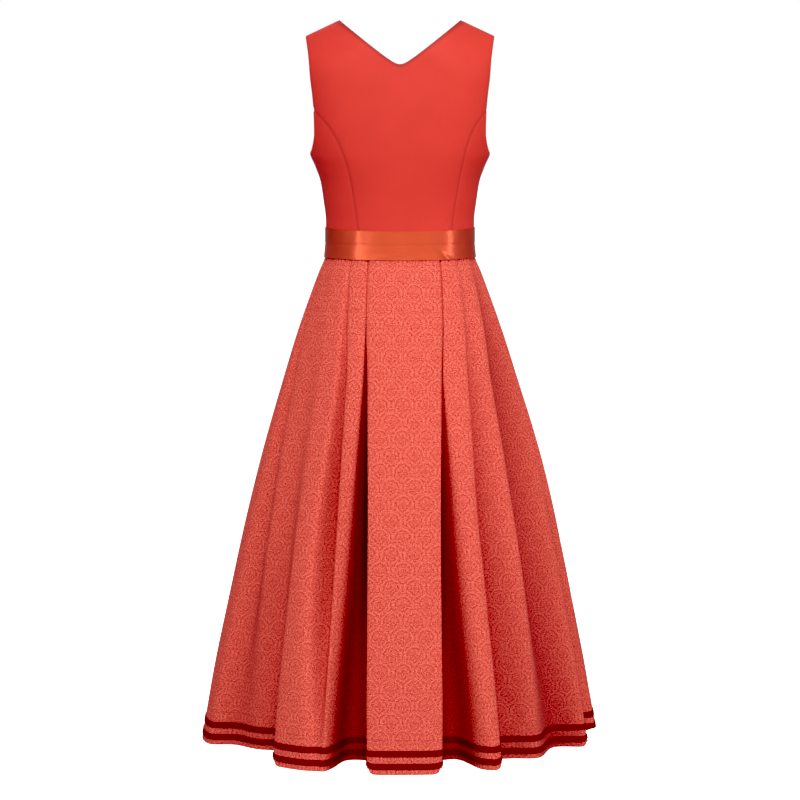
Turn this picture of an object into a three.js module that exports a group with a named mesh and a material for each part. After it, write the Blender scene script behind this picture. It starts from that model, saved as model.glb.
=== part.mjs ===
// A sleeveless dirndl in the hollow shape it has when worn: a princess-seamed bodice with a V at the
// neck, a pleated skirt, a ribbon sash over the waist seam and two velvet ribbons above the hem.
// Millimetres, +Z up. The wearer faces -Y, so +Y is the back and +X the wearer's left.
// The origin is midway between the shoulder seams, where the wearer's shoulders carry the dress.
import * as THREE from "three";

// ---------------------------------------------------------------- driving sizes
const bodiceCloth = 1.5;
const skirtCloth = 1.2;
const ribbonCloth = 1.1; // walls are measured level, so where the dress slopes they are a little thinner through
const velvetCloth = 1.3;
const seamGap = 0.3;
const waistZ = -370; // the seam that joins bodice and skirt, under the sash

// The body that the bodice is cut for: rings at heights, straight up through the armholes.
const torso = [
  { z: -372, halfWidth: 129.3, back: 88, front: 103, squareness: 2.1 },
  { z: -335, halfWidth: 129.3, back: 87, front: 105, squareness: 2.1 },
  { z: -294, halfWidth: 134, back: 89, front: 114, squareness: 2.15 },
  { z: -266, halfWidth: 138.5, back: 92, front: 121, squareness: 2.2 },
  { z: -238, halfWidth: 148, back: 95, front: 126, squareness: 2.25 },
  { z: -217, halfWidth: 157, back: 97, front: 127, squareness: 2.3 },
  { z: -180, halfWidth: 163, back: 99, front: 124, squareness: 2.45 },
  { z: -140, halfWidth: 168, back: 100, front: 117, squareness: 2.6 },
  { z: -100, halfWidth: 172, back: 99, front: 107, squareness: 2.8 },
  { z: -50, halfWidth: 176, back: 96, front: 96, squareness: 3 },
  { z: 60, halfWidth: 182, back: 92, front: 88, squareness: 3 },
];
const shoulder = { neckX: 104.7, neckZ: 14, tipX: 163.6, tipZ: -13.5, overBack: 95, overFront: 112 };
const bust = { x: 74, z: -236, lift: 13, wide: 40, high: 52 };
const underarm = { x: 157, z: -217 };
const backNeck = { z: -61, roundX: 12 };
const frontNeck = { z: -152, roundX: 16 };

// Princess seams: distance from the middle of the body at each height, from the armhole down.
const princessZ = [-140, -170, -200, -235, -280, -330, -370];
const princess = {
  backRight: [149, 128, 116, 107.5, 99, 91.5, 88],
  backLeft: [148, 121, 103.5, 91, 81.5, 74.5, 70],
  front: [147, 122, 102, 89, 80, 75, 73],
};
// Armhole edges: distance from the middle at each height, from the shoulder down to the princess seam.
const armholeZ = [-13.5, -29, -54, -85, -112, -140];
const armhole = {
  back: [163.6, 160.8, 157.4, 154.9, 151.6, 149],
  front: [163.6, 159, 153, 148, 146, 147],
};
// The stretch of armhole edge that the side panels carry, from the princess seam to the underarm.
const underarmEdge = {
  back: { z: [-140, -167, -181, -195, -209, -217], x: [149, 148.3, 148.3, 150.1, 153.6, 157] },
  front: { z: [-140, -167, -185, -199, -211, -217], x: [147, 147.5, 149, 151, 154, 157] },
};

const sash = { topZ: -343.5, bottomZ: -395.3, topDip: 3.5, bottomDip: 1, lap: 34, clear: 0.7, overPleats: 1.1 };
const velvet = { height: 10, upperTop: -1204, lowerTop: -1225, clear: 0.3 };

// The skirt's outline: half the width at each height. Its depth grows with it.
const skirtWidth = [
  { z: -370, half: 128.2 },
  { z: -396, half: 130.9 },
  { z: -420, half: 140.6 },
  { z: -472, half: 160 },
  { z: -525, half: 178.5 },
  { z: -610, half: 204.5 },
  { z: -737, half: 240.9 },
  { z: -860, half: 271.5 },
  { z: -1000, half: 301.5 },
  { z: -1110, half: 324 },
  { z: -1244, half: 346.5 },
];
const skirtDepth = { waistBack: 86.9, waistFront: 101.9, backGrowth: 1.068, frontGrowth: 0.985 };
const skirtRows = [-370.15, -396, -420, -460, -525, -610, -700, -790, -860, -950, -1040, -1130, -1204, -1214, -1225, -1235, -1244];

// Folds of half the skirt, from one side seam to the other. Each row is one line down the cloth:
// its angle round the body and how far it lies inside the outline, at the heights above.
const foldHeights = [-385, -500, -610, -860, -1244];
const folds = [
  { line: "side seam", angle: [-90, -90, -90, -90, -90], depth: [0, 0, 0, 0, 0] },
  { line: "outer roll", angle: [-80, -80, -76, -74, -74], depth: [0, 0, 0, 0, 0] },
  { line: "outer trough", angle: [-76, -75.5, -69.5, -63.5, -70], depth: [0.5, 4, 10, 22, 40] },
  { line: "slack panel", angle: [-71, -70.5, -64, -56.6, -60], depth: [0, 0, 1, 5, 60] },
  { line: "slack tuck", angle: [-62, -54, -49, -46, -49], depth: [0.6, 1.4, 3.5, 16, 88] },
  { line: "broad edge under", angle: [-59.5, -50.3, -44.8, -41.6, -39.3], depth: [0.4, 0.8, 1.2, 2.5, 5] },
  { line: "broad edge", angle: [-56.8, -48.3, -42.8, -40.4, -38.2], depth: [0, 0, 0, 0, 0] },
  { line: "broad panel", angle: [-50, -41.2, -36, -35.5, -31.5], depth: [0, 0, 0, -2, -4] },
  { line: "short trough lip", angle: [-43.8, -36.6, -33, -32.6, -27], depth: [0, 0, 0, 1, -4] },
  { line: "short trough", angle: [-41, -33.4, -28.2, -26, -24], depth: [0.9, 5, 15, 34, 0] },
  { line: "strip start", angle: [-38.6, -31.1, -26.5, -23.6, -22], depth: [0, 0, 0, 3, 2] },
  { line: "strip end", angle: [-27.4, -21.2, -19.4, -19.6, -21], depth: [0.4, 0.8, 2, 10, 26] },
  { line: "pleat floor", angle: [-25, -19.9, -17.9, -17.6, -20], depth: [5.2, 7.4, 17, 50, 94] },
  { line: "pleat inner fold", angle: [-19.5, -15.6, -15, -14.8, -12], depth: [6.4, 9.8, 30, 92, 97] },
  { line: "pleat return", angle: [-22.2, -17.6, -14.2, -11.9, -8.2], depth: [4.4, 5.6, 13, 44, 48] },
  { line: "box edge under", angle: [-25, -19.9, -15.9, -11.8, -9.4], depth: [2.7, 2.7, 2.8, 3, 4.6] },
  { line: "box edge", angle: [-24.1, -19.1, -15.2, -11.1, -8.9], depth: [0, 0, 0, 0, 0] },
  { line: "box middle", angle: [3.5, 2.8, 2.2, 1.6, 1.3], depth: [0, 0, 0, 0, 0] },
  { line: "far box edge", angle: [30.9, 24.5, 19.6, 14.3, 11.4], depth: [0, 0, 0, 0, 0] },
  { line: "far box edge under", angle: [31.8, 25.4, 20.4, 15, 12], depth: [2.7, 2.7, 2.8, 3, 4.6] },
  { line: "far pleat return", angle: [29, 23, 18.6, 14.8, 11.1], depth: [4.4, 5.2, 8, 42, 47] },
  { line: "far pleat inner fold", angle: [26.4, 21.1, 18.4, 17.2, 15], depth: [6.4, 9, 17, 90, 94] },
  { line: "far pleat floor", angle: [32.2, 25.8, 21.3, 19.9, 22], depth: [5.2, 7, 9.5, 48, 97] },
  { line: "narrow panel start", angle: [34.2, 27, 22.6, 22.6, 24.6], depth: [0.4, 1, 2.6, 9, 14] },
  { line: "narrow panel", angle: [41, 34, 29, 26.2, 27.2], depth: [0, 0, 0, -1, -2] },
  { line: "narrow edge", angle: [46.8, 39.5, 34.4, 29.5, 29.7], depth: [0, 0, 0, 0, 0] },
  { line: "narrow edge under", angle: [48, 40.5, 35.2, 30.3, 30.4], depth: [0.9, 1.4, 2, 4, 6] },
  { line: "narrow tuck", angle: [50.5, 42.5, 36.4, 31.8, 33.3], depth: [1.4, 4, 9, 27, 66] },
  { line: "side panel start", angle: [54, 46, 40.2, 36.2, 40.5], depth: [0.6, 2.5, 7, 18, 56] },
  { line: "side ridge", angle: [64, 55.6, 49.5, 46.8, 47.8], depth: [0, 0, 0, 0, 28] },
  { line: "side trough", angle: [70, 62, 56.5, 53, 65], depth: [0.6, 9, 20, 29, 50] },
  { line: "outer edge", angle: [82, 83, 84, 73.5, 70.5], depth: [0, 0, 0, 0, 0] },
  { line: "outer edge under", angle: [86.5, 87, 87.5, 82.5, 85], depth: [0.5, 1.5, 3, 12, 40] },
];
const frontShare = { depth: 0.86, sway: 2.2 }; // the front's folds are the back's, turned round and shallower

// ---------------------------------------------------------------- small maths
const radians = (degrees) => (degrees * Math.PI) / 180;
const mix = (a, b, t) => a + (b - a) * t;

// A smooth curve through values at knots that never overshoots them (monotone cubic).
function through(knots, values, at) {
  const rising = knots[knots.length - 1] > knots[0];
  const k = rising ? knots : [...knots].reverse();
  const v = rising ? values : [...values].reverse();
  const n = k.length;
  const x = Math.min(Math.max(at, k[0]), k[n - 1]);
  let i = 0;
  while (i < n - 2 && x > k[i + 1]) i++;
  const chord = (j) => (v[j + 1] - v[j]) / (k[j + 1] - k[j]);
  const slope = (j) => {
    if (j === 0) return chord(0);
    if (j === n - 1) return chord(n - 2);
    const before = chord(j - 1);
    const after = chord(j);
    return before * after <= 0 ? 0 : (2 * before * after) / (before + after);
  };
  const h = k[i + 1] - k[i];
  const t = (x - k[i]) / h;
  const held = (1 + 2 * t) * (1 - t) ** 2 * v[i] + t * t * (3 - 2 * t) * v[i + 1];
  return held + h * (t * (1 - t) ** 2 * slope(i) - t * t * (1 - t) * slope(i + 1));
}
const column = (rows, name) => rows.map((row) => row[name]);
const torsoZ = column(torso, "z");
const torsoAt = (name, z) => through(torsoZ, column(torso, name), z);
const skirtHalf = (z) => through(column(skirtWidth, "z"), column(skirtWidth, "half"), z);
const skirtDepthAt = (z, isFront) => {
  const grown = skirtHalf(z) - skirtHalf(waistZ);
  return isFront
    ? skirtDepth.waistFront + grown * skirtDepth.frontGrowth
    : skirtDepth.waistBack + grown * skirtDepth.backGrowth;
};
// The rings are ellipses at the hem and a little squarer at the waist, like the bodice's.
const skirtSquareness = (z) => mix(torso[0].squareness, 2, Math.min(1, (waistZ - z) / 300));
const squareFactor = (turn, squareness) =>
  (Math.abs(Math.sin(turn)) ** squareness + Math.abs(Math.cos(turn)) ** squareness) ** (-1 / squareness);

// ---------------------------------------------------------------- walls
// A closed solid between an outer and an inner grid of points. A ring's columns join up.
function wallMesh(name, outer, inner, material, isRing = false) {
  const rows = outer.length;
  const columns = outer[0].length;
  const positions = [...outer, ...inner].flat().flatMap((p) => [p.x, p.y, p.z]);
  const outside = (r, c) => r * columns + (c % columns);
  const inside = (r, c) => rows * columns + outside(r, c);
  const faces = [];
  const quad = (a, b, c, d) => faces.push(a, b, c, a, c, d);
  const lastColumn = isRing ? columns : columns - 1;
  for (let r = 0; r < rows - 1; r++) {
    for (let c = 0; c < lastColumn; c++) {
      quad(outside(r, c), outside(r, c + 1), outside(r + 1, c + 1), outside(r + 1, c));
      quad(inside(r, c), inside(r + 1, c), inside(r + 1, c + 1), inside(r, c + 1));
    }
  }
  for (let c = 0; c < lastColumn; c++) {
    quad(outside(0, c), inside(0, c), inside(0, c + 1), outside(0, c + 1));
    quad(outside(rows - 1, c), outside(rows - 1, c + 1), inside(rows - 1, c + 1), inside(rows - 1, c));
  }
  for (let r = 0; r < rows - 1 && !isRing; r++) {
    const end = columns - 1;
    quad(outside(r, 0), outside(r + 1, 0), inside(r + 1, 0), inside(r, 0));
    quad(outside(r, end), inside(r, end), inside(r + 1, end), outside(r + 1, end));
  }
  const corner = (i) => new THREE.Vector3().fromArray(positions, 3 * faces[i]);
  let volume = 0;
  for (let i = 0; i < faces.length; i += 3) volume += corner(i).dot(corner(i + 1).cross(corner(i + 2)));
  // A grid that runs the other way round is turned to face out.
  const turned = faces.map((_, i) => (volume < 0 ? faces[faces.length - 1 - i] : faces[i]));
  const geometry = new THREE.BufferGeometry();
  geometry.setAttribute("position", new THREE.Float32BufferAttribute(positions, 3));
  geometry.setIndex(turned);
  const mesh = new THREE.Mesh(geometry, material);
  mesh.name = name;
  return mesh;
}

// ---------------------------------------------------------------- the bodice
// A place on the bodice is an angle from the middle of the back (180 is the middle of the front,
// positive towards the wearer's left) and a height along the cloth, which runs on over the shoulder.
function torsoPoint(angle, height, inward = 0) {
  const at = (a, h) => {
    const turn = radians(a);
    const isFront = Math.abs(a) > 90;
    const squareness = torsoAt("squareness", h);
    const halfWidth = torsoAt("halfWidth", h);
    const depth = torsoAt(isFront ? "front" : "back", h);
    const across = Math.abs(Math.sin(turn)) / halfWidth;
    const along = Math.abs(Math.cos(turn)) / depth;
    const radius = (across ** squareness + along ** squareness) ** (-1 / squareness);
    const x = radius * Math.sin(turn);
    let y = radius * Math.cos(turn);
    if (isFront) {
      const near = ((Math.abs(x) - bust.x) / bust.wide) ** 2 + ((h - bust.z) / bust.high) ** 2;
      y -= bust.lift * Math.exp(-near) * Math.min(1, (Math.abs(a) - 90) / 25);
    }
    const over = isFront ? shoulder.overFront : shoulder.overBack;
    const base = ridgeZ(x) - over;
    const lean = Math.min(Math.max((h - base) / over, 0), Math.PI / 2);
    const z = h <= base ? h : base + over * Math.sin(lean);
    return new THREE.Vector3(x, y * Math.cos(lean), z);
  };
  const point = at(angle, height);
  if (!inward) return point;
  const round = at(angle + 0.4, height).sub(at(angle - 0.4, height));
  const up = at(angle, height + 0.5).sub(at(angle, height - 0.5));
  const outward = up.cross(round).normalize();
  return point.addScaledVector(outward, -inward);
}
const ridgeSlope = (shoulder.neckZ - shoulder.tipZ) / (shoulder.tipX - shoulder.neckX);
const ridgeZ = (x) => shoulder.neckZ - (Math.abs(x) - shoulder.neckX) * ridgeSlope;

// Where a point measured from straight behind or in front lies on the bodice.
function placeAt(x, z, isFront) {
  const over = isFront ? shoulder.overFront : shoulder.overBack;
  const base = ridgeZ(x) - over;
  const height = z <= base ? z : base + over * Math.asin(Math.min(1, (z - base) / over));
  let low = 0;
  let high = 90;
  for (let i = 0; i < 40; i++) {
    const middle = (low + high) / 2;
    const found = Math.abs(torsoPoint(isFront ? 180 - middle : middle, height).x);
    if (found < Math.abs(x)) low = middle;
    else high = middle;
  }
  return { angle: isFront ? 180 - low : low, height };
}

const slowEnd = (s) => 1 - (1 - s) ** 2;
const slowEnds = (s) => s * s * (3 - 2 * s);
// Places spaced along one edge: evenly, or closer where the cloth turns away over the shoulder.
const edgeOf = (steps, placeFor) => Array.from({ length: steps + 1 }, (_, i) => placeFor(i / steps));
const edgeUp = (xs, zs, isFront, steps, spacing = (s) => s) =>
  edgeOf(steps, (s) => {
    const z = mix(zs[zs.length - 1], zs[0], spacing(s));
    return placeAt(through(zs, xs, z), z, isFront);
  });
// The same line moved round the body by a distance, so that neighbours stay a seam's gap apart.
const shifted = (places, distance) =>
  places.map(({ angle, height }) => {
    const point = torsoPoint(angle, height);
    const oblique = 1.25; // the seams lean, so the gap across them is narrower than the gap along a ring
    return { angle: angle + ((oblique * distance) / Math.hypot(point.x, point.y)) * (180 / Math.PI), height };
  });
// The grid spanned between a panel's edges. Its rows run straight from the start edge to the end
// edge, and from the row bendFrom up they take on the bend of the top edge.
function spanned({ top, start, end, bendFrom }, side, inward) {
  const columns = top.length;
  const rows = start.length;
  const at = (key, r, c) => {
    const u = c / (columns - 1);
    const bend = Math.max(0, (r - bendFrom) / (rows - 1 - bendFrom));
    return mix(start[r][key], end[r][key], u) + bend * (top[c][key] - mix(top[0][key], top[columns - 1][key], u));
  };
  return Array.from({ length: rows }, (_, r) =>
    Array.from({ length: columns }, (_, c) => torsoPoint(side * at("angle", r, c), at("height", r, c), inward)),
  );
}
const bodicePanel = (name, edges, side, material) =>
  wallMesh(name, spanned(edges, side, 0), spanned(edges, side, bodiceCloth), material);

const seamSteps = 9;
const armholeSteps = 7;
const shoulderSteps = 3;
const neckSteps = 9;
const bodiceBottom = waistZ + seamGap / 2;

// Half of the back, or one front panel: from the middle of the body out to the princess seam,
// the armhole and the shoulder seam.
function centreEdges(isFront, seamX, middleX) {
  const awayFromSide = isFront ? 1 : -1;
  const neckLow = isFront ? frontNeck : backNeck;
  const lowered = ({ angle, height }) => ({ angle, height: height - 0.8 * seamGap });
  const seam = shifted(edgeUp(seamX, princessZ, isFront, seamSteps), (awayFromSide * seamGap) / 2);
  seam[0].height = bodiceBottom;
  const hole = edgeUp(armhole[isFront ? "front" : "back"], armholeZ, isFront, armholeSteps, slowEnd);
  const ridge = edgeOf(shoulderSteps, (s) => {
    const x = mix(shoulder.tipX, shoulder.neckX, s);
    return lowered(placeAt(x, ridgeZ(x), isFront));
  });
  const rounded = (x) => Math.hypot(x, neckLow.roundX) - neckLow.roundX;
  const top = edgeOf(neckSteps, (s) => {
    const x = mix(middleX, shoulder.neckX, slowEnds(s));
    const z = mix(neckLow.z, shoulder.neckZ, rounded(x) / rounded(shoulder.neckX));
    return s === 1 ? ridge[shoulderSteps] : placeAt(x, z, isFront);
  });
  const end = [...seam, ...hole.slice(1, -1), ...ridge];
  const middle = { angle: placeAt(middleX, bodiceBottom, isFront).angle, height: bodiceBottom };
  // Rows leave the seam squarely: those that end on it take this share of the middle line.
  const seamShare = isFront ? 0.74 : 0.64;
  const rise = (s) => {
    const t = s * (end.length - 1);
    const past = (t - seamSteps) / (end.length - 1 - seamSteps);
    return t < seamSteps ? (seamShare * t) / seamSteps : mix(seamShare, 1, past);
  };
  const start = edgeOf(end.length - 1, (s) => ({
    angle: mix(middle.angle, top[0].angle, rise(s)),
    height: mix(middle.height, top[0].height, rise(s)),
  }));
  return { top, start, end, bendFrom: seamSteps };
}

// A side panel: from the princess seam round to the side seam, with the underarm curve on top.
function sideEdges(isFront, seamX) {
  const towardsSide = isFront ? -1 : 1;
  const edge = underarmEdge[isFront ? "front" : "back"];
  const start = shifted(edgeUp(seamX, princessZ, isFront, seamSteps), (towardsSide * seamGap) / 2);
  start[0].height = bodiceBottom;
  const sideAngle = 90 - (((towardsSide * seamGap) / 2) * 1.25 * 180) / Math.PI / torso[0].halfWidth;
  const columns = 7;
  const top = edgeOf(columns - 1, (s) => {
    const z = mix(edge.z[0], underarm.z, Math.sin(s * 1.2) / Math.sin(1.2));
    const place = placeAt(through(edge.z, edge.x, z), z, isFront);
    return { angle: isFront ? Math.max(place.angle, sideAngle) : Math.min(place.angle, sideAngle), height: z };
  });
  top[0] = start[seamSteps];
  top[columns - 1] = { angle: sideAngle, height: underarm.z };
  const end = edgeOf(seamSteps, (s) => ({ angle: sideAngle, height: mix(bodiceBottom, underarm.z, s) }));
  return { top, start, end, bendFrom: 0 };
}

// The back is one piece, so its two halves join in the middle of the body without a seam.
function backPanel(material) {
  const right = centreEdges(false, princess.backRight, 0);
  const left = centreEdges(false, princess.backLeft, 0);
  const grid = (inward) => {
    const leftHalf = spanned(left, 1, inward);
    return spanned(right, -1, inward).map((row, r) => [...row.slice(1).reverse(), ...leftHalf[r]]);
  };
  return wallMesh("bodice_back", grid(0), grid(bodiceCloth), material);
}

// ---------------------------------------------------------------- the skirt
function skirtControl(z) {
  const half = skirtHalf(z);
  const back = skirtDepthAt(z, false);
  const front = skirtDepthAt(z, true);
  const place = (angle, inside, depth) => {
    const turn = radians(angle);
    const square = squareFactor(turn, skirtSquareness(z));
    const normal = new THREE.Vector2(depth * Math.sin(turn), half * Math.cos(turn)).normalize();
    return new THREE.Vector3(
      -(half * Math.sin(turn) * square - inside * normal.x),
      depth * Math.cos(turn) * square - inside * normal.y,
      z,
    );
  };
  const backLines = [...folds, { angle: [90, 90, 90, 90, 90], depth: [0, 0, 0, 0, 0] }].map((fold) =>
    place(through(foldHeights, fold.angle, z), through(foldHeights, fold.depth, z), back),
  );
  const frontLines = folds.slice(1).map((fold) => {
    const angle = through(foldHeights, fold.angle, z);
    const sway = frontShare.sway * Math.sin(radians(angle * 2)) * Math.cos(radians(angle));
    return place(180 + angle + sway, frontShare.depth * through(foldHeights, fold.depth, z), front);
  });
  return [...backLines, ...frontLines];
}

const samplesPerFold = 2;
// Points of the cloth's outer face round the skirt at one height, moved out by a distance.
// fromLine and toLine are numbers of fold lines; with none given the ring is whole.
function skirtRing(z, outward, fromLine = 0, toLine = null, endGap = 0) {
  const controls = skirtControl(z);
  const curve = new THREE.CatmullRomCurve3(controls, true, "centripetal");
  const lines = controls.length;
  const last = toLine ?? lines;
  const count = (last - fromLine) * samplesPerFold;
  const stations = Array.from({ length: toLine === null ? count : count + 1 }, (_, i) => fromLine + i / samplesPerFold);
  if (toLine !== null) {
    const spacing = (a, b) => controls[a % lines].distanceTo(controls[b % lines]);
    stations[0] += endGap / spacing(fromLine, fromLine + 1);
    stations[count] -= endGap / spacing(toLine - 1, toLine);
  }
  const step = 0.02;
  const pointAt = (station) => curve.getPoint((((station % lines) + lines) % lines) / lines);
  return stations.map((station) => {
    const tangent = pointAt(station + step).sub(pointAt(station - step));
    const normal = new THREE.Vector3(tangent.y, -tangent.x, 0).normalize();
    return pointAt(station).addScaledVector(normal, outward);
  });
}

function skirtPanel(name, fromLine, toLine, material) {
  const grid = (outward) => skirtRows.map((z) => skirtRing(z, outward, fromLine, toLine, seamGap / 2));
  return wallMesh(name, grid(0), grid(-skirtCloth), material);
}

function velvetRibbon(name, topZ, material) {
  const heights = [topZ, topZ - velvet.height];
  const grid = (outward) => heights.map((z) => skirtRing(z, outward));
  return wallMesh(name, grid(velvet.clear + velvetCloth), grid(velvet.clear), material, true);
}

// ---------------------------------------------------------------- the sash
// A ribbon round the waist whose ends lap at the middle of the front.
function sashRibbon(material) {
  const steps = 96;
  const rowShares = [0, 0.5, 1];
  const lapAngle = (sash.lap / skirtDepth.waistFront) * (180 / Math.PI);
  const grid = (thickness) =>
    rowShares.map((share) =>
      Array.from({ length: steps + 1 }, (_, i) => {
        const turned = mix(0, 360 + lapAngle, i / steps);
        const angle = 180 - lapAngle / 2 + turned;
        const turn = radians(angle);
        const back = (Math.cos(turn) + 1) / 2;
        const z = mix(sash.topZ - sash.topDip * back, sash.bottomZ - sash.bottomDip * back, share);
        const isFront = Math.cos(turn) < 0;
        const onSkirt = z < waistZ;
        const half = onSkirt ? skirtHalf(z) + sash.overPleats : torsoAt("halfWidth", z);
        const depth = onSkirt ? skirtDepthAt(z, isFront) + sash.overPleats : torsoAt(isFront ? "front" : "back", z);
        const lapRise = Math.max(0, (turned - (360 - lapAngle)) / lapAngle);
        const out = sash.clear + thickness + (ribbonCloth + 2 * seamGap) * Math.min(1, lapRise * 1.1);
        const squareness = torso[0].squareness;
        const across = Math.abs(Math.sin(turn)) / half;
        const along = Math.abs(Math.cos(turn)) / depth;
        const radius = (across ** squareness + along ** squareness) ** (-1 / squareness) + out;
        return new THREE.Vector3(radius * Math.sin(turn), radius * Math.cos(turn), z);
      }),
    );
  return wallMesh("sash", grid(ribbonCloth), grid(0), material);
}

// ---------------------------------------------------------------- the dress
const crepe = new THREE.MeshStandardMaterial({ color: 0xdc4434, roughness: 0.7, metalness: 0 });
const jacquard = new THREE.MeshStandardMaterial({ color: 0xe05a4b, roughness: 0.85, metalness: 0 });
const satin = new THREE.MeshStandardMaterial({ color: 0xe0562f, roughness: 0.3, metalness: 0 });
const velvetPile = new THREE.MeshStandardMaterial({ color: 0x7a0206, roughness: 0.95, metalness: 0 });

const dress = new THREE.Group();
dress.add(backPanel(crepe));
for (const [side, word] of [[1, "left"], [-1, "right"]]) {
  const backSeam = side > 0 ? princess.backLeft : princess.backRight;
  dress.add(bodicePanel(`bodice_side_back_${word}`, sideEdges(false, backSeam), side, crepe));
  dress.add(bodicePanel(`bodice_side_front_${word}`, sideEdges(true, princess.front), side, crepe));
  dress.add(bodicePanel(`bodice_front_${word}`, centreEdges(true, princess.front, seamGap / 2), side, crepe));
}
dress.add(skirtPanel("skirt_back", 0, folds.length, jacquard));
dress.add(skirtPanel("skirt_front", folds.length, 2 * folds.length, jacquard));
dress.add(sashRibbon(satin));
dress.add(velvetRibbon("velvet_ribbon_upper", velvet.upperTop, velvetPile));
dress.add(velvetRibbon("velvet_ribbon_lower", velvet.lowerTop, velvetPile));

export default dress;
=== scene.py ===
import bpy
import math
import numpy as np
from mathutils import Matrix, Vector


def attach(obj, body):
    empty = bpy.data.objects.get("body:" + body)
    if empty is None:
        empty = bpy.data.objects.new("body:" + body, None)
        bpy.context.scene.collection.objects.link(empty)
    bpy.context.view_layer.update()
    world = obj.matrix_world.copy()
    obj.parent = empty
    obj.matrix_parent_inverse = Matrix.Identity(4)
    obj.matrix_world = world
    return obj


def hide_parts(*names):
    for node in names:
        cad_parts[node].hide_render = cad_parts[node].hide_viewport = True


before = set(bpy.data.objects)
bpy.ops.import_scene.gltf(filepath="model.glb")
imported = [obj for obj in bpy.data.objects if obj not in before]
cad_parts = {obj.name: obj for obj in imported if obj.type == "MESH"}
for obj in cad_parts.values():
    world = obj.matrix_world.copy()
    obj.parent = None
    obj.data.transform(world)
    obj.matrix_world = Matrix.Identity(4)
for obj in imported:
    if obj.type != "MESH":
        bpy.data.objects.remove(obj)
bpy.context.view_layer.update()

bpy.ops.object.select_all(action="DESELECT")
scene = bpy.context.scene
print("frame loaded")


# Camera, lights and floor

camera = {"height": 0.0, "distance": 5.5, "aimHeight": -0.65, "lens": 142.0, "shiftUp": 0.0012}

cameraData = bpy.data.cameras.new("camera")
cameraObject = bpy.data.objects.new("camera", cameraData)
scene.collection.objects.link(cameraObject)
cameraObject.location = (0, camera["distance"], camera["height"])
aim = Vector((0, 0, camera["aimHeight"]))
cameraObject.rotation_euler = (aim - cameraObject.location).to_track_quat("-Z", "Y").to_euler()
cameraData.lens = camera["lens"]
cameraData.shift_y = camera["shiftUp"]
scene.camera = cameraObject
scene.view_settings.view_transform = "Standard"
scene.view_settings.look = "None"
scene.view_settings.use_curve_mapping = True
tone = scene.view_settings.curve_mapping
tone.black_level = (0.05, 0.055, 0.04)  # deep, clean blacks
tone.update()

lights = {
    "key": {"place": (-0.2, 3.9, 3.0), "size": (1.5, 1.5), "power": 184, "tint": (1.0, 0.98, 0.95)},
    "stripLeft": {"place": (2.5, 2.5, -0.1), "size": (0.12, 2.6), "power": 15, "tint": (1.0, 1.0, 1.0)},
    "glowLeft": {"place": (1.75, 2.9, -0.1), "size": (0.9, 2.6), "power": 4, "tint": (1.0, 1.0, 1.0)},
    "stripRight": {"place": (-2.9, 1.65, 0.1), "size": (0.12, 2.6), "power": 18, "tint": (1.0, 1.0, 1.0)},
    "front": {"place": (1.2, -4.2, 1.9), "size": (1.8, 1.8), "power": 150, "tint": (1.0, 0.98, 0.96)},
    "card": {"place": (-1.3, 1.3, -0.2), "size": (0.5, 0.5), "power": 3.5, "tint": (1.0, 1.0, 1.0)},
}
for name, light in lights.items():
    data = bpy.data.lights.new(name, "AREA")
    data.shape = "RECTANGLE"
    data.energy = light["power"]
    data.size, data.size_y = light["size"]
    data.color = light["tint"]
    lamp = bpy.data.objects.new(name, data)
    scene.collection.objects.link(lamp)
    lamp.location = light["place"]
    lamp.rotation_euler = (aim - lamp.location).to_track_quat("-Z", "Y").to_euler()
    lamp.visible_glossy = name not in ("front", "card")

# The studio is white to look at and gives only a low, even light.
studio = {"white": 1.0, "evenLight": 0.42}
world = bpy.data.worlds.new("studio")
scene.world = world
world.use_nodes = True
worldNodes, worldLinks = world.node_tree.nodes, world.node_tree.links
rays = worldNodes.new("ShaderNodeLightPath")
level = worldNodes.new("ShaderNodeMapRange")
level.inputs["To Min"].default_value = studio["evenLight"]
level.inputs["To Max"].default_value = studio["white"]
worldLinks.new(rays.outputs["Is Camera Ray"], level.inputs["Value"])
worldLinks.new(level.outputs[0], worldNodes["Background"].inputs["Strength"])
worldNodes["Background"].inputs["Color"].default_value = (1, 1, 1, 1)

floorPlan = {
    "height": -1.62, "size": 60, "color": (0.9, 0.9, 0.9), "grain": (0.891, 0.891, 0.891), "glow": 1.0,
}
bpy.ops.mesh.primitive_plane_add(size=floorPlan["size"], location=(0, 0, floorPlan["height"]))
floor = bpy.context.object
floor.name = "floor"
floor.visible_diffuse = False  # the floor glows white without lighting the cloth from below
floor.visible_glossy = False
print("camera and lights")


# Shader maths

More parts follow.
